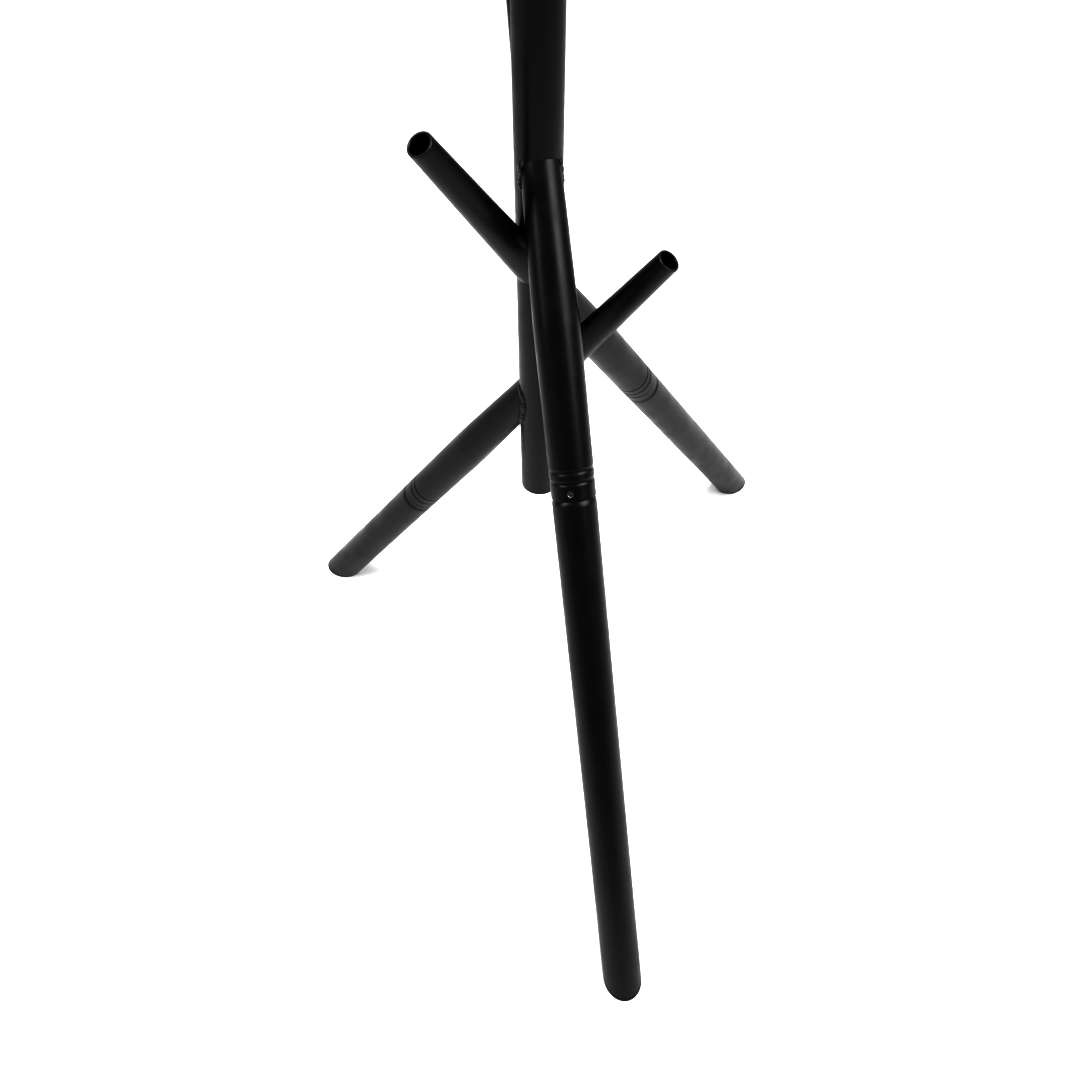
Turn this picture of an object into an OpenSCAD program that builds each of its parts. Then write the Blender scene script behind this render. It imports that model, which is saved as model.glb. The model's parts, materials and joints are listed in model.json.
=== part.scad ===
// Free-standing coat stand in round steel tube.
// Three straight legs pass through the pole one above another, a third of a turn apart.
// Each leg runs on past the pole, upwards, as a short tapered arm with an open end.
// Origin: the point of the floor under the pole. +Z is up and the front leg points to -Y.

/* [Pole] */
// Outside diameter of the pole and of the legs
tube_d = 32; // [28:1:38]
// Wall thickness of every tube
wall = 1.2; // [1:0.1:1.6]
// Height of the pole's lower end above the floor
pole_bottom = 231; // [210:1:260]
// Height of the joint between the lower and the middle pole section
pole_joint_1 = 771; // [740:1:860]
// Height of the joint between the middle and the upper pole section
pole_joint_2 = 1275; // [1265:1:1285]
// Height of the pole's top
pole_top = 1700; // [1650:1:1760]

/* [Legs] */
// Angle between every leg or arm and the vertical
tilt = 33.6; // [32:0.1:36]
// Height at which the front leg crosses the pole
cross_front = 551; // [545:1:560]
// Height at which the right leg crosses the pole
cross_right = 452; // [447:1:456]
// Height at which the left leg crosses the pole
cross_left = 348; // [343:1:352]
// Length of the front leg's arm, from the crossing to its open end
arm_front = 164; // [120:1:190]
// Length of the right leg's arm
arm_right = 162; // [120:1:190]
// Length of the left leg's arm
arm_left = 166; // [120:1:190]
// Distance from the crossing down to where the full diameter starts
taper_len = 111; // [80:1:130]
// Distance from the crossing down to the front leg's joint
joint_front = 232; // [215:0.5:240]
// Distance from the crossing down to the right leg's joint
joint_right = 217.5; // [215:0.5:240]
// Distance from the crossing down to the left leg's joint
joint_left = 221; // [215:0.5:240]

/* [Joints] */
// Length of the reduced end that plugs into the next tube
spigot_len = 45; // [35:1:50]
// Radial gap between the reduced end and the tube around it
spigot_gap = 0.1; // [0.05:0.01:0.2]
// Length of the rounded shoulder where a tube is reduced
shoulder_len = 5; // [3:0.5:8]
// Distance from the front leg's joint to its nearest rolled groove and its screw
screw_front = 5.3; // [5:0.1:11]
// Distance from the right leg's joint to its nearest rolled groove and its screw
screw_right = 10.3; // [5:0.1:11]
// Distance from the left leg's joint to its nearest rolled groove and its screw
screw_left = 6.7; // [5:0.1:11]
// Distance from a pole joint to its nearest rolled groove and its screw
screw_pole = 6.7; // [5:0.1:11]
// Turn of the front and left legs' screws round the leg, from its upper side
screw_turn = 18; // [0:1:25]
// Turn of the right leg's screw, the other way
screw_turn_right = -18; // [-25:1:0]
// Distance between rolled grooves
groove_pitch = 7.8; // [6:0.1:10]
// Radius of a groove's round bottom
groove_r = 4.5; // [3:0.1:6]
// Depth of a groove
groove_depth = 0.45; // [0.3:0.05:0.6]
// Angle from the screw to where the nearest groove starts, on either side
groove_gap = 80; // [60:1:90]
// Nominal diameter of the set screws
screw_d = 6; // [5:1:6]
// Length of a set screw
screw_len = 8; // [7:0.5:9]
// Depth of a set screw's outer end below the tube's surface
screw_sink = 0.5; // [0.3:0.1:1]

/* [Coat arms] */
// Length of a coat arm, from the pole's centre line to its open end
arm_len = 165; // [120:1:190]
// Outside diameter at the open end of a coat arm this long, which also sets the legs' arms
arm_end_d = 16.9; // [14:0.1:20]
// Thickness of the rolled lip round an arm's open end
lip_t = 1.7; // [1.4:0.1:2.2]
// Height of the lowest coat arm on the middle pole section
mid_arms_from = 980; // [975:1:990]
// Height of the lowest coat arm on the upper pole section
top_arms_from = 1380; // [1378:1:1390]
// Height from one coat arm to the next
arm_step = 100; // [97:1:102]

/* [Feet and caps] */
// Thickness of a foot plug's sole under the tube
sole_t = 2.5; // [2:0.1:4]
// Length of a foot plug's body above the floor, along its leg
foot_plug_len = 24; // [20:1:30]
// Length of the body of a plug in the pole
plug_len = 20; // [12:1:26]
// Radial gap between a plug's body and its tube
plug_gap = 0.1; // [0.05:0.01:0.2]
// Height of the dome on the pole's top cap
dome_h = 6; // [4:0.5:9]

/* [Hidden] */

$fn = 96;
steel = "#17181a";
plastic = "#0d0d0e";
zinc = "#8f9296";

// Indexes of the three legs in the lists below
FRONT = 0;
RIGHT = 1;
LEFT = 2;
leg_az = [-90, 30, 150];
cross_z = [cross_front, cross_right, cross_left];
joint_at = [joint_front, joint_right, joint_left];
arm_at = [arm_front, arm_right, arm_left];
screw_at = [screw_front, screw_right, screw_left];
turn_at = [screw_turn, screw_turn_right, screw_turn];
full_grooves = 2;

tube_r = tube_d / 2;
bore_r = tube_r - wall;
spigot_r = bore_r - spigot_gap;
arm_end_r = arm_end_d / 2;
// Width of the small bevel on a cut edge
edge = 0.3;
shoulder_steps = 8;
lip_steps = 8;
// Turns a tube about its own axis, which keeps its seam line clear of the level cut and the holes
seam_turn = 50;

// Outer radius of an arm tube at the crossing, and its change for each millimetre of length
cone_slope = (tube_r - arm_end_r) / (taper_len + arm_len);
cross_r = tube_r - cone_slope * taper_len;
// Room left around a tube where it enters the pole, and how far the cut reaches from the centre
hole_gap = 0.1;
hole_reach = 70;
// How far a coat arm reaches past the pole's centre line, inside the pole
arm_root = 4;

// Distance from a leg's crossing down to the floor
function floor_at(i) = cross_z[i] / cos(tilt);
// Extra length of the shapes that the floor level trims
foot_extra = 24;
slab_w = 120;
plug_wall = 2;

// The groove beside a screw is set off centre, so that it fades out towards the screw
fade_shift = groove_depth / (1 + cos(groove_gap));
fade_depth = fade_shift * cos(groove_gap);

screw_r = screw_d / 2 - 0.05;
screw_edge = 0.4;
nut_w = screw_d + 4;
nut_t = 4.5;
// A nut's flat face meets the round wall at its two sides
nut_face = sqrt(pow(spigot_r - wall, 2) - pow(nut_w / 2, 2)) - 0.02;
hex_key = screw_d / 2;
socket_depth = 2.2;
socket_edge = 0.3;

// Direction and height of each coat arm, lowest first
arm_turn = [90, 210, 330];
coat_arms = [
  for (k = [0:5]) [arm_turn[k % 3], (k < 3 ? mid_arms_from : top_arms_from) + (k % 3) * arm_step]
];

// ---------- placing ----------

// Puts a shape on a leg's axis: its own +Z runs down the leg from the crossing
// and its own -X is the leg's upper and outer side
module on_leg(az, z) {
  translate([0, 0, z]) rotate([0, 180 - tilt, az]) children();
}

// The same, measured from the leg's joint
module on_leg_joint(i) {
  on_leg(leg_az[i], cross_z[i]) translate([0, 0, joint_at[i]]) children();
}

// A joint in the pole: its own +Z runs down the pole and its own -X is the back
module on_pole_joint(z) {
  translate([0, 0, z]) rotate([0, 0, -90]) mirror([0, 0, 1]) children();
}

// Everything round a leg's foot between two heights
module slab(i, z0, z1) {
  rotate([0, 0, leg_az[i]])
    translate([cross_z[i] * tan(tilt) - slab_w / 2, -slab_w / 2, z0]) cube([slab_w, slab_w, z1 - z0]);
}

// ---------- tube shapes, drawn along +Z ----------

// Outer radius of an arm tube at a distance z from the crossing
function arm_r(z) = min(tube_r, cross_r + cone_slope * z);

// Cross-section of an arm tube from its open end, len before the crossing, to z_end past it
function arm_profile(len, z_end) = let (
  end_r = arm_r(-len),
  lip_r = lip_t / 2,
  lip = [for (k = [0:lip_steps]) let (a = 180 + 180 * k / lip_steps)
    [end_r - lip_r + lip_r * cos(a), lip_r - len + lip_r * sin(a)]],
  outer = z_end > taper_len ? [[tube_r, taper_len], [tube_r, z_end - edge]] : [[arm_r(z_end), z_end - edge]],
  inner = z_end > taper_len ? [[bore_r, z_end], [bore_r, taper_len]] : [[arm_r(z_end) - wall, z_end]]
) concat(
  lip, outer, [[arm_r(z_end) - edge, z_end]], inner, [[end_r - wall, 3 * lip_r - len]]
);

// Solid cone that an arm tube fills between two distances from the crossing, with room around it
module arm_hole(z0, z1) {
  translate([0, 0, z0]) cylinder(h = z1 - z0, r1 = arm_r(z0) + hole_gap, r2 = arm_r(z1) + hole_gap);
}

// Outer line of a tube reduced at z = 0: the reduced end, then a rounded shoulder up to full size
function shoulder_points() = let (
  drop = tube_r - spigot_r,
  arc_r = (pow(shoulder_len, 2) + pow(drop, 2)) / (2 * drop),
  sweep = asin(shoulder_len / arc_r)
) [for (k = [0:shoulder_steps]) let (a = sweep * (1 - k / shoulder_steps))
  [tube_r - arc_r * (1 - cos(a)), shoulder_len - arc_r * sin(a)]];

// Tube with its reduced end at the top: the shoulder starts at z = 0 and the tube ends at z = len.
// Its screw hole is a distance screw_z above the shoulder, turned from -X
module reduced_tube(len, screw_z, turn) {
  inner_r = spigot_r - wall;
  difference() {
    rotate([0, 0, seam_turn]) rotate_extrude() polygon(concat(
      [[inner_r, -spigot_len], [spigot_r - edge, -spigot_len], [spigot_r, edge - spigot_len]],
      shoulder_points(),
      [[tube_r, len - edge], [tube_r - edge, len], [bore_r, len], [bore_r, shoulder_len], [inner_r, 0]]
    ));
    screw_hole(screw_z, turn, screw_d / 2 + 0.3);
  }
}

// Hole for a joint's screw, a distance screw_z above the joint
module screw_hole(screw_z, turn, r) {
  translate([0, 0, -screw_z]) rotate([0, 0, turn]) rotate([0, -90, 0])
    cylinder(h = tube_r + 2, r = r, $fn = 48);
}

// Ring that cuts a groove of a depth
module groove_ring(depth) {
  rotate_extrude() translate([tube_r + groove_r - depth, 0]) circle(r = groove_r);
}

// What a joint cuts from the tube above it: the screw hole and three grooves, of which the nearest
// runs only round the side away from the screw
module joint_cuts(screw_z, turn) {
  for (k = [1:full_grooves])
    translate([0, 0, -screw_z - k * groove_pitch]) groove_ring(groove_depth);
  rotate([0, 0, turn]) translate([-fade_shift, 0, -screw_z]) groove_ring(fade_depth);
  screw_hole(screw_z, turn, screw_d / 2 + 0.15);
}

// ---------- pole ----------

// Holes for the crossing legs and for the coat arms
module pole_holes() {
  for (i = [FRONT:LEFT])
    on_leg(leg_az[i], cross_z[i]) arm_hole(-hole_reach, hole_reach);
  for (a = coat_arms)
    on_leg(a[0] + 180, a[1]) arm_hole(-hole_reach, 0);
}

module pole_lower() {
  color(steel) difference() {
    on_pole_joint(pole_joint_1) reduced_tube(pole_joint_1 - pole_bottom, screw_pole, 0);
    pole_holes();
  }
}

module pole_middle() {
  color(steel) difference() {
    on_pole_joint(pole_joint_2) reduced_tube(pole_joint_2 - pole_joint_1, screw_pole, 0);
    on_pole_joint(pole_joint_1) joint_cuts(screw_pole, 0);
    pole_holes();
  }
}

module pole_upper() {
  color(steel) difference() {
    translate([0, 0, pole_joint_2]) cylinder(h = pole_top - pole_joint_2, r = tube_r);
    translate([0, 0, pole_joint_2 - 1]) cylinder(h = pole_top - pole_joint_2 + 2, r = bore_r);
    on_pole_joint(pole_joint_2) joint_cuts(screw_pole, 0);
    pole_holes();
  }
}

module pole_bottom_plug() {
  color(plastic) difference() {
    union() {
      translate([0, 0, pole_bottom]) cylinder(h = plug_len, r = bore_r - plug_gap);
      translate([0, 0, pole_bottom - sole_t]) rotate_extrude() polygon([
        [0, 0], [tube_r - 1, 0], [tube_r, 1], [tube_r, sole_t], [0, sole_t]
      ]);
    }
    translate([0, 0, pole_bottom]) cylinder(h = plug_len + 1, r = bore_r - plug_gap - plug_wall);
  }
}

module pole_top_cap() {
  ball_r = (pow(tube_r, 2) + pow(dome_h, 2)) / (2 * dome_h);
  color(plastic) difference() {
    union() {
      translate([0, 0, pole_top - plug_len]) cylinder(h = plug_len + 1, r = bore_r - plug_gap);
      intersection() {
        translate([0, 0, pole_top + dome_h - ball_r]) sphere(r = ball_r, $fn = 180);
        translate([0, 0, pole_top]) cylinder(h = dome_h + 1, r = tube_r);
      }
    }
    translate([0, 0, pole_top - plug_len - 1]) cylinder(h = plug_len, r = bore_r - plug_gap - plug_wall);
  }
}

// ---------- legs and arms ----------

// Upper tube of a leg: it passes through the pole, with its tapered arm above and its joint below
module arm_tube(i) {
  color(steel) on_leg(leg_az[i], cross_z[i]) difference() {
    rotate_extrude() polygon(arm_profile(arm_at[i], joint_at[i]));
    translate([0, 0, joint_at[i]]) joint_cuts(screw_at[i], turn_at[i]);
  }
}

// Lower tube of a leg, cut level above the foot plug's sole
module leg(i) {
  color(steel) difference() {
    on_leg_joint(i) reduced_tube(floor_at(i) - joint_at[i] + foot_extra, screw_at[i], turn_at[i]);
    slab(i, -slab_w, sole_t);
  }
}

// Plastic plug in a leg's lower end: a level sole with a hollow body inside the tube
module foot_plug(i) {
  color(plastic) difference() {
    union() {
      intersection() {
        on_leg(leg_az[i], cross_z[i])
          translate([0, 0, floor_at(i) - foot_extra]) cylinder(h = 2 * foot_extra, r = tube_r);
        slab(i, 0, sole_t);
      }
      intersection() {
        on_leg(leg_az[i], cross_z[i])
          translate([0, 0, floor_at(i) - foot_plug_len])
            cylinder(h = foot_plug_len + foot_extra, r = bore_r - plug_gap);
        slab(i, 0, slab_w);
      }
    }
    intersection() {
      on_leg(leg_az[i], cross_z[i])
        translate([0, 0, floor_at(i) - foot_plug_len - 1])
          cylinder(h = foot_plug_len + foot_extra, r = bore_r - plug_gap - plug_wall);
      slab(i, sole_t, slab_w);
    }
  }
}

// Coat arm welded into one side of the pole
module coat_arm(k) {
  color(steel) on_leg(coat_arms[k][0] + 180, coat_arms[k][1])
    rotate_extrude() polygon(arm_profile(arm_len, arm_root));
}

// ---------- joint hardware, drawn at a joint ----------

// Set screw with a hexagon socket, sunk a little below the tube's surface
module screw(screw_z, turn) {
  top = tube_r - screw_sink;
  translate([0, 0, -screw_z]) rotate([0, 0, turn]) rotate([0, -90, 0]) difference() {
    union() {
      translate([0, 0, top - screw_len]) cylinder(h = screw_len - screw_edge, r = screw_r, $fn = 48);
      translate([0, 0, top - screw_edge])
        cylinder(h = screw_edge, r1 = screw_r, r2 = screw_r - screw_edge, $fn = 48);
    }
    translate([0, 0, top - socket_depth]) cylinder(h = socket_depth + 1, r = hex_key / sqrt(3), $fn = 6);
    translate([0, 0, top - socket_edge])
      cylinder(h = 2 * socket_edge, r1 = hex_key / 2, r2 = hex_key / 2 + 2 * socket_edge, $fn = 48);
  }
}

// Weld nut against the inside of the reduced end
module nut(screw_z, turn) {
  translate([0, 0, -screw_z]) rotate([0, 0, turn]) rotate([0, -90, 0])
    translate([0, 0, nut_face - nut_t]) difference() {
      cylinder(h = nut_t, r = nut_w / sqrt(3), $fn = 6);
      translate([0, 0, -1]) cylinder(h = nut_t + 2, r = screw_d / 2, $fn = 48);
    }
}

module leg_screws() {
  color(steel) for (i = [FRONT:LEFT]) on_leg_joint(i) screw(screw_at[i], turn_at[i]);
}

module leg_nuts() {
  color(zinc) for (i = [FRONT:LEFT]) on_leg_joint(i) nut(screw_at[i], turn_at[i]);
}

module pole_screws() {
  color(steel) for (z = [pole_joint_1, pole_joint_2]) on_pole_joint(z) screw(screw_pole, 0);
}

module pole_nuts() {
  color(zinc) for (z = [pole_joint_1, pole_joint_2]) on_pole_joint(z) nut(screw_pole, 0);
}

pole_lower();
pole_middle();
pole_upper();
pole_bottom_plug();
pole_top_cap();
arm_tube(FRONT);  // arm_tube_front
arm_tube(RIGHT);  // arm_tube_right
arm_tube(LEFT);  // arm_tube_left
leg(FRONT);  // leg_front
leg(RIGHT);  // leg_right
leg(LEFT);  // leg_left
foot_plug(FRONT);  // foot_plug_front
foot_plug(RIGHT);  // foot_plug_right
foot_plug(LEFT);  // foot_plug_left
coat_arm(0);  // coat_arm_1
coat_arm(1);  // coat_arm_2
coat_arm(2);  // coat_arm_3
coat_arm(3);  // coat_arm_4
coat_arm(4);  // coat_arm_5
coat_arm(5);  // coat_arm_6
leg_screws();
leg_nuts();
pole_screws();
pole_nuts();
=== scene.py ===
"""Looks of a free-standing coat stand in black tube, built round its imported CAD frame."""
import json
import math

import bmesh
import bpy
from mathutils import Matrix, Vector, noise


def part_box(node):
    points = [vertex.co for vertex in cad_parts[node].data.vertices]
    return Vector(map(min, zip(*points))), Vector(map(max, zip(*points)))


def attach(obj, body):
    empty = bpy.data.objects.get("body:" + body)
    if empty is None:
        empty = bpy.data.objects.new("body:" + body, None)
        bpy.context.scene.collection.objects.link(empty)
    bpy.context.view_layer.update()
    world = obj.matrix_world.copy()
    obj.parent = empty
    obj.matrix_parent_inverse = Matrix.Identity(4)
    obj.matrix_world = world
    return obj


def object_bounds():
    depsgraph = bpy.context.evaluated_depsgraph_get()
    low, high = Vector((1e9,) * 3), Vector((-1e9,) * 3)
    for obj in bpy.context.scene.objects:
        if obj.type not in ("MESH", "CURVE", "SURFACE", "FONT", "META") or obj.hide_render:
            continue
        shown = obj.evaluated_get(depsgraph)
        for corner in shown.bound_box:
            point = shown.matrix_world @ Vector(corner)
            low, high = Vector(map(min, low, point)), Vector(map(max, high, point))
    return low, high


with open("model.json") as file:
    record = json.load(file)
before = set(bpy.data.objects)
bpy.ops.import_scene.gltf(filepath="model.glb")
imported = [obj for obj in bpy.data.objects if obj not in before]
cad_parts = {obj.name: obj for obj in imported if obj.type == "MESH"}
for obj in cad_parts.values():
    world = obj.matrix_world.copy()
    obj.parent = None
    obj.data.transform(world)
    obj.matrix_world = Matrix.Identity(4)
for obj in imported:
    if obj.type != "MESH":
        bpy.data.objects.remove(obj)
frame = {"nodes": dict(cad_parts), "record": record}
cad_low, cad_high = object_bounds()

# ---------- driving dimensions in metres, turns in degrees, as in the CAD source ----------

MM = 0.001
TILT = math.radians(33.6)
ARM_LEN = 165 * MM
TAPER_LEN = 111 * MM
ARM_END_R = 8.45 * MM
LEG_TURN = {"front": -90, "right": 30, "left": 150}
LEG_CROSSING = {"front": 551 * MM, "right": 452 * MM, "left": 348 * MM}
COAT_ARM_TURN = (90, 210, 330)
COAT_ARM_FROM = (980 * MM, 1380 * MM)
COAT_ARM_STEP = 100 * MM

pole_low, pole_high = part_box("pole_lower")
TUBE_R = (pole_high.x - pole_low.x) / 2
CONE_SLOPE = (TUBE_R - ARM_END_R) / (TAPER_LEN + ARM_LEN)
CROSS_R = TUBE_R - CONE_SLOPE * TAPER_LEN

# ---------- node helpers ----------


def new_material(name):
    """An empty node material and its Principled shader."""
    material = bpy.data.materials.new(name)
    material.use_nodes = True
    nodes = material.node_tree.nodes
    nodes.clear()
    output = nodes.new("ShaderNodeOutputMaterial")
    shader = nodes.new("ShaderNodeBsdfPrincipled")
    material.node_tree.links.new(shader.outputs["BSDF"], output.inputs["Surface"])
    return material, shader


def noise_value(material, scale, detail=2.0, roughness=0.5, offset=(0, 0, 0), stretch=(1, 1, 1)):
    """Noise from 0 to 1 over the object's own coordinates, scale in features for each metre."""
    tree = material.node_tree
    place = tree.nodes.new("ShaderNodeTexCoord")
    mapping = tree.nodes.new("ShaderNodeMapping")
    mapping.inputs["Location"].default_value = offset
    mapping.inputs["Scale"].default_value = stretch
    texture = tree.nodes.new("ShaderNodeTexNoise")
    texture.inputs["Scale"].default_value = scale
    texture.inputs["Detail"].default_value = detail
    texture.inputs["Roughness"].default_value = roughness
    tree.links.new(place.outputs["Object"], mapping.inputs["Vector"])
    tree.links.new(mapping.outputs["Vector"], texture.inputs["Vector"])
    return texture.outputs["Fac"]


def spread(material, value, low, high, from_low=0.3, from_high=0.7):
    """value, spread over another range."""
    node = material.node_tree.nodes.new("ShaderNodeMapRange")
    node.inputs["From Min"].default_value = from_low
    node.inputs["From Max"].default_value = from_high
    node.inputs["To Min"].default_value = low
    node.inputs["To Max"].default_value = high
    material.node_tree.links.new(value, node.inputs["Value"])
    return node.outputs["Result"]


def two_tone(material, value, dark, light):
    """A colour between two, by value."""
    ramp = material.node_tree.nodes.new("ShaderNodeValToRGB")
    ramp.color_ramp.elements[0].color = (*dark, 1)
    ramp.color_ramp.elements[1].color = (*light, 1)
    material.node_tree.links.new(value, ramp.inputs["Fac"])
    return ramp.outputs["Color"]


def connect(material, shader, colour, roughness):
    """Links a colour and a roughness to the shader."""
    material.node_tree.links.new(colour, shader.inputs["Base Color"])
    material.node_tree.links.new(roughness, shader.inputs["Roughness"])


def bump(material, shader, layers):
    """Adds bump layers to the shader: (height value, strength, distance in metres)."""
    tree = material.node_tree
    below = None
    for height, strength, distance in layers:
        node = tree.nodes.new("ShaderNodeBump")
        node.inputs["Strength"].default_value = strength
        node.inputs["Distance"].default_value = distance
        tree.links.new(height, node.inputs["Height"])
        if below is not None:
            tree.links.new(below, node.inputs["Normal"])
        below = node.outputs["Normal"]
    tree.links.new(below, shader.inputs["Normal"])


# ---------- materials ----------

PLAIN_SPECULAR = 0.5


def powder_coat():
    """Satin black powder coat: fine orange peel over slight changes of tone and gloss."""
    material, shader = new_material("black_powder_coat")
    cloud = noise_value(material, scale=14, detail=3)
    peel = noise_value(material, scale=900, detail=2, offset=(3, 1, 2))
    grain = noise_value(material, scale=3200, detail=1)
    gloss = noise_value(material, scale=45, detail=4, roughness=0.6, offset=(1, 5, 0))
    tint = two_tone(material, cloud, dark=(0.0018, 0.0018, 0.0020), light=(0.0036, 0.0036, 0.0039))
    connect(material, shader, tint, spread(material, gloss, low=0.28, high=0.42))
    shader.inputs["Specular IOR Level"].default_value = PLAIN_SPECULAR
    bump(material, shader, [(peel, 0.18, 0.12 * MM), (grain, 0.08, 0.04 * MM)])
    return material


def moulded_plastic():
    """Matt black moulded plastic with a spark-eroded grain."""
    material, shader = new_material("black_plastic")
    cloud = noise_value(material, scale=60, detail=2)
    grain = noise_value(material, scale=2400, detail=3, roughness=0.7)
    tint = two_tone(material, cloud, dark=(0.0060, 0.0060, 0.0064), light=(0.0095, 0.0095, 0.0100))
    connect(material, shader, tint, spread(material, grain, low=0.55, high=0.72))
    shader.inputs["Specular IOR Level"].default_value = PLAIN_SPECULAR
    bump(material, shader, [(grain, 0.25, 0.08 * MM)])
    return material


def black_screw():
    """Black oxide steel, worn through to brighter metal in places."""
    material, shader = new_material("black_screw")
    wear = noise_value(material, scale=900, detail=4, roughness=0.65)
    turning = noise_value(material, scale=2600, detail=2, stretch=(1, 1, 0.3))
    tint = two_tone(material, wear, dark=(0.080, 0.080, 0.083), light=(0.58, 0.58, 0.59))
    connect(material, shader, tint, spread(material, turning, low=0.18, high=0.30))
    shader.inputs["Metallic"].default_value = 1.0
    bump(material, shader, [(turning, 0.12, 0.03 * MM)])
    return material


def zinc():
    """Bright zinc plate with a slight bloom."""
    material, shader = new_material("zinc_nut")
    bloom = noise_value(material, scale=500, detail=4)
    tint = two_tone(material, bloom, dark=(0.42, 0.43, 0.45), light=(0.62, 0.63, 0.64))
    connect(material, shader, tint, spread(material, bloom, low=0.25, high=0.45))
    shader.inputs["Metallic"].default_value = 1.0
    bump(material, shader, [(bloom, 0.15, 0.05 * MM)])
    return material


def weld_metal():
    """Powder coat over a weld bead, with small pits and uneven gloss."""
    material, shader = new_material("coated_weld")
    pits = noise_value(material, scale=1100, detail=4, roughness=0.6)
    cloud = noise_value(material, scale=120, detail=2, offset=(2, 0, 1))
    tint = two_tone(material, cloud, dark=(0.0017, 0.0017, 0.0018), light=(0.0034, 0.0034, 0.0037))
    connect(material, shader, tint, spread(material, pits, low=0.26, high=0.42))
    shader.inputs["Specular IOR Level"].default_value = PLAIN_SPECULAR
    bump(material, shader, [(pits, 0.3, 0.15 * MM)])
    return material


MATERIALS = {
    "black_powder_coat": powder_coat(),
    "black_plastic": moulded_plastic(),
    "black_screw": black_screw(),
    "zinc_nut": zinc(),
    "coated_weld": weld_metal(),
}


def dress_cad_nodes():
    """Gives each CAD node the material of its slot in the record."""
    slots = {s["node"]: s["material_slot"] for s in frame["record"]["subparts"]}
    for name, node in frame["nodes"].items():
        node.data.materials.clear()
        node.data.materials.append(MATERIALS[slots[name]])


# ---------- weld beads ----------

BEAD_W = 3.0 * MM  # from the corner out over each face
BEAD_STEP = 0.35 * MM  # between rings of points
BEAD_SIDES = 9  # points over the crown
BEAD_END = 3.0 * MM  # length of each thin end
BEAD_TIP = 0.04  # least share of that length, so that an end ring keeps some area
BEAD_BULGE = 0.30  # crown's height as a share of the width
BEAD_ROOT = 0.5 * MM  # depth of the root under both faces
BEAD_SINK = 0.15 * MM  # depth of the edges under their faces
# Along a bead: the pitch of its fine ripples and of its lumps, how far noise (features for each
# metre) shifts them, and what share of the width each adds to the plain share
RIPPLE = 2.2 * MM
LUMP = 7.0 * MM
ROUGH_SCALE = 150
RIPPLE_SHIFT, LUMP_SHIFT = 2.0, 4.0
PLAIN_SHARE, RIPPLE_SHARE, LUMP_SHARE, ROUGH_SHARE = 0.88, 0.06, 0.16, 0.30
# The line where a tube leaves the pole: points tried along it, and the search for each of them
LINE_POINTS = 400
SEARCH_REACH = 80 * MM
SEARCH_STEPS = 40
# Where a tube is welded to the pole, in degrees round the tube from its upper side, on either side
SIDE_RUN = (40, 130)
FRONT_RUN = (58, 112)
LEFT_RUN = (20, 140)


class ArmAxis:
    """An arm tube's axis and cone. s runs down the tube from where its axis crosses the pole's."""

    def __init__(self, turn, height):
        turn = math.radians(turn)
        out = Vector((math.cos(turn), math.sin(turn), 0))
        self.cross = Vector((0, 0, height))
        self.down = out * math.sin(TILT) - Vector((0, 0, math.cos(TILT)))
        self.top = out * math.cos(TILT) + Vector((0, 0, math.sin(TILT)))
        self.side = self.down.cross(self.top)

    def point(self, s, angle):
        radius = CROSS_R + CONE_SLOPE * s
        around = self.top * math.cos(angle) + self.side * math.sin(angle)
        return self.cross + self.down * s + around * radius

    def normal(self, angle):
        around = self.top * math.cos(angle) + self.side * math.sin(angle)
        return (around - self.down * CONE_SLOPE).normalized()

    def where_it_leaves(self, angle, sign):
        """Distance s at which the tube's surface line at angle leaves the pole, found by halving."""
        inside, outside = 0.0, sign * SEARCH_REACH
        for _ in range(SEARCH_STEPS):
            middle = (inside + outside) / 2
            if self.point(middle, angle).xy.length < TUBE_R:
                inside = middle
            else:
                outside = middle
        return (inside + outside) / 2


def bead_section(at, arm_normal, along, swell):
    """Points of a bead's cross-section at one place: from the pole's face over to the tube's face."""
    pole_normal = Vector((at.x, at.y, 0)).normalized()
    on_pole = along.cross(pole_normal)
    if on_pole.dot(arm_normal) < 0:
        on_pole = -on_pole
    on_arm = along.cross(arm_normal)
    if on_arm.dot(pole_normal) < 0:
        on_arm = -on_arm
    width = BEAD_W * swell
    points = [at - (pole_normal + arm_normal) * BEAD_ROOT]
    for k in range(BEAD_SIDES):
        part = k / (BEAD_SIDES - 1)
        flat = on_pole.lerp(on_arm, part) * width
        bulge = (pole_normal + arm_normal).normalized() * width * BEAD_BULGE * math.sin(math.pi * part)
        sink = (pole_normal * (1 - part) + arm_normal * part) * BEAD_SINK
        points.append(at + flat + bulge - sink)
    return points


def weld_line(axis, sign, start, end):
    """Evenly spaced places along one weld: (angle, point, distance from its start)."""
    angles = [math.radians(start + (end - start) * k / LINE_POINTS) for k in range(LINE_POINTS + 1)]
    points = [axis.point(axis.where_it_leaves(a, sign), a) for a in angles]
    run = [0.0]
    for a, b in zip(points, points[1:]):
        run.append(run[-1] + (b - a).length)
    count = round(run[-1] / BEAD_STEP)
    places = []
    k = 0
    for n in range(count + 1):
        wanted = run[-1] * n / count
        while k < LINE_POINTS - 1 and run[k + 1] < wanted:
            k += 1
        part = (wanted - run[k]) / (run[k + 1] - run[k])
        angle = angles[k] + (angles[k + 1] - angles[k]) * part
        places.append((angle, points[k].lerp(points[k + 1], part), wanted))
    return places


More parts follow.
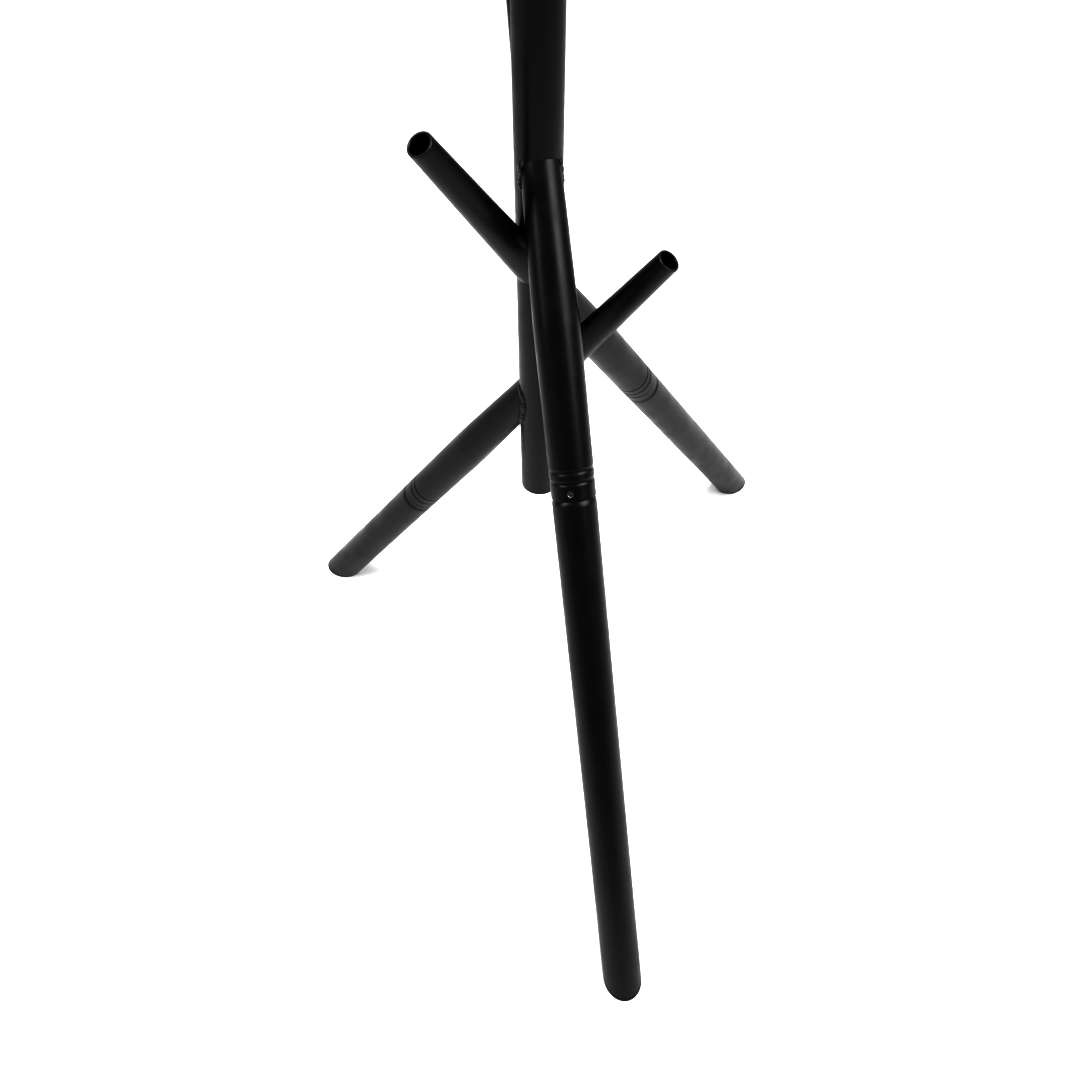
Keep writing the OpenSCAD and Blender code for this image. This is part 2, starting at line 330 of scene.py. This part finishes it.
def weld_bead(name, axis, sign, start, end):
    """A rippled bead along part of the line where an arm tube leaves the pole, thin at both ends."""
    places = weld_line(axis, sign, start, end)
    total = places[-1][2]
    rings = []
    for k, (angle, at, run) in enumerate(places):
        ahead, behind = places[min(k + 1, len(places) - 1)][1], places[max(k - 1, 0)][1]
        rough = noise.noise(at * ROUGH_SCALE)
        ripple = abs(math.sin(math.pi * run / RIPPLE + RIPPLE_SHIFT * rough))
        lump = math.sin(math.pi * run / LUMP + LUMP_SHIFT * rough) ** 2
        from_end = min(1.0, max(BEAD_TIP, min(run, total - run) / BEAD_END))
        swell = PLAIN_SHARE + RIPPLE_SHARE * ripple + LUMP_SHARE * lump + ROUGH_SHARE * rough
        swell *= math.sqrt(1 - (1 - from_end) ** 2)
        rings.append(bead_section(at, axis.normal(angle), (ahead - behind).normalized(), swell))
    size = len(rings[0])
    vertices = [p for ring in rings for p in ring]
    faces = [tuple(range(size)), tuple(reversed(range(len(vertices) - size, len(vertices))))]
    for k in range(len(rings) - 1):
        a, b = k * size, (k + 1) * size
        for j in range(size):
            n = (j + 1) % size
            faces.append((a + j, a + n, b + n, b + j))
    mesh = bpy.data.meshes.new(name)
    mesh.from_pydata(vertices, [], faces)
    mesh.update()
    work = bmesh.new()
    work.from_mesh(mesh)
    bmesh.ops.recalc_face_normals(work, faces=work.faces)
    work.to_mesh(mesh)
    work.free()
    for face in mesh.polygons:
        face.use_smooth = True
    bead = bpy.data.objects.new(name, mesh)
    bpy.context.scene.collection.objects.link(bead)
    mesh.materials.append(MATERIALS["coated_weld"])
    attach(bead, "root")


def weld_pair(name, axis, sign, run, other_run=None):
    """Welds on both sides of a tube: run on its left as seen from outside, other_run on its right."""
    weld_bead(f"{name}_a", axis, sign, *run)
    weld_bead(f"{name}_b", axis, sign, *(-a for a in other_run or run))


def weld_beads():
    """Two beads above and two below each leg's crossing, and two at each coat arm."""
    lower_runs = {
        "front": (FRONT_RUN, FRONT_RUN),
        "right": (SIDE_RUN, SIDE_RUN),
        "left": (SIDE_RUN, LEFT_RUN),
    }
    for name, turn in LEG_TURN.items():
        axis = ArmAxis(turn, LEG_CROSSING[name])
        weld_pair(f"weld_{name}_lower", axis, 1, *lower_runs[name])
        weld_pair(f"weld_{name}_upper", axis, -1, SIDE_RUN)
    for group, lowest in enumerate(COAT_ARM_FROM):
        for place, turn in enumerate(COAT_ARM_TURN):
            number = group * len(COAT_ARM_TURN) + place + 1
            axis = ArmAxis(turn + 180, lowest + place * COAT_ARM_STEP)
            weld_pair(f"weld_coat_arm_{number}", axis, -1, SIDE_RUN)


# ---------- floor, light and camera ----------

FLOOR_SIZE = 60
FLOOR_DROP = 0.2 * MM  # just clear of the soles
FLOOR_GREY = (0.9, 0.9, 0.9, 1)


def plain_floor():
    """A wide pale floor."""
    half = FLOOR_SIZE / 2
    mesh = bpy.data.meshes.new("floor")
    mesh.from_pydata([(-half, -half, 0), (half, -half, 0), (half, half, 0), (-half, half, 0)],
                     [], [(0, 1, 2, 3)])
    floor = bpy.data.objects.new("floor", mesh)
    bpy.context.scene.collection.objects.link(floor)
    floor.location.z = cad_low.z - FLOOR_DROP
    material, shader = new_material("pale_floor")
    shader.inputs["Base Color"].default_value = FLOOR_GREY
    shader.inputs["Roughness"].default_value = 0.9
    shader.inputs["Specular IOR Level"].default_value = 0.1
    mesh.materials.append(material)


ROOM_LIGHT = 0.36
CONTRAST = 0.5
OVERHEAD_GRID = math.radians(28)
SIDE_GRID = math.radians(52)
STAND_MIDDLE = (0, 0, 0.45)
# Each soft box: name, place, aim, width and height (metres), brightness, grid, fade
BOXES = (
    ("overhead_box", (0.08, 0, 2.4), (0.08, 0, 0), (0.9, 1.1), 23.0, OVERHEAD_GRID, 0),
    ("right_box", (1.56, -1.09, 1.55), STAND_MIDDLE, (1.65, 2.0), 10.0, SIDE_GRID, 0.5),
    ("left_box", (-2.04, -0.50, 1.87), STAND_MIDDLE, (0.56, 2.7), 16.0, SIDE_GRID, 0.25),
    ("back_box", (0.2, 2.0, 2.3), (0.2, 1.6, 0), (3.0, 1.1), 1.9, None, 0),
    ("left_lip_box", (-1.30, 0.92, 1.86), STAND_MIDDLE, (1.8, 1.6), 1.9, None, 0),
    ("right_lip_box", (1.72, 0.84, 1.31), STAND_MIDDLE, (1.8, 1.4), 1.9, None, 0),
)


def softbox(name, place, aim, size, brightness, grid, fade):
    """A rectangular light turned to aim, as bright as brightness on its axis.

    A grid narrows its beam to that angle from the axis, and fade is the lower share of its
    height over which it darkens to nothing.
    """
    data = bpy.data.lights.new(name, "AREA")
    data.shape = "RECTANGLE"
    data.size, data.size_y = size
    data.energy = brightness * math.pi * size[0] * size[1]
    if grid:
        data.spread = 2 * grid
        data.energy *= 1 - grid / math.tan(grid)
    if fade:
        data.use_nodes = True
        tree = data.node_tree
        spot = tree.nodes.new("ShaderNodeNewGeometry")
        split = tree.nodes.new("ShaderNodeSeparateXYZ")
        rise = tree.nodes.new("ShaderNodeMapRange")
        rise.interpolation_type = "SMOOTHSTEP"
        rise.inputs["From Max"].default_value = fade
        tree.links.new(spot.outputs["Parametric"], split.inputs["Vector"])
        tree.links.new(split.outputs["Y"], rise.inputs["Value"])
        tree.links.new(rise.outputs["Result"], tree.nodes["Emission"].inputs["Strength"])
    lamp = bpy.data.objects.new(name, data)
    bpy.context.scene.collection.objects.link(lamp)
    lamp.location = place
    lamp.rotation_euler = (Vector(aim) - Vector(place)).to_track_quat("-Z", "Y").to_euler()
    lamp.visible_camera = False


def studio_light():
    """Even grey room, a gridded box overhead, two upright boxes in front and three boxes behind."""
    world = bpy.data.worlds.new("studio")
    bpy.context.scene.world = world
    world.use_nodes = True
    background = world.node_tree.nodes["Background"]
    background.inputs["Color"].default_value = (1, 1, 1, 1)
    background.inputs["Strength"].default_value = ROOM_LIGHT
    for box in BOXES:
        softbox(*box)
    view = bpy.context.scene.view_settings
    view.view_transform = "Standard"
    view.gamma = CONTRAST


CAMERA_TURN = math.radians(-10.8)
CAMERA_DOWN = math.radians(52.31)
CAMERA_ROLL = math.radians(-0.21)
CAMERA_OUT = 0.580  # from the pole's axis, in metres
CAMERA_UP = 0.894
CAMERA_LENS = 33.0  # in millimetres, as its sensor
CAMERA_SENSOR = 36
CAMERA_NEAR = 0.01


def camera():
    """Close to the stand's lower half, from above the front leg and a little to its left."""
    data = bpy.data.cameras.new("camera")
    data.lens = CAMERA_LENS
    data.sensor_width = CAMERA_SENSOR
    data.clip_start = CAMERA_NEAR
    viewer = bpy.data.objects.new("camera", data)
    bpy.context.scene.collection.objects.link(viewer)
    out = Vector((math.sin(CAMERA_TURN), -math.cos(CAMERA_TURN), 0))
    viewer.location = out * CAMERA_OUT + Vector((0, 0, CAMERA_UP))
    turn = Matrix.Rotation(CAMERA_TURN, 4, "Z")
    pitch = Matrix.Rotation(math.pi / 2 - CAMERA_DOWN, 4, "X")
    roll = Matrix.Rotation(CAMERA_ROLL, 4, "Z")
    viewer.rotation_euler = (turn @ pitch @ roll).to_euler()
    bpy.context.scene.camera = viewer


dress_cad_nodes()
weld_beads()
plain_floor()
studio_light()
camera()
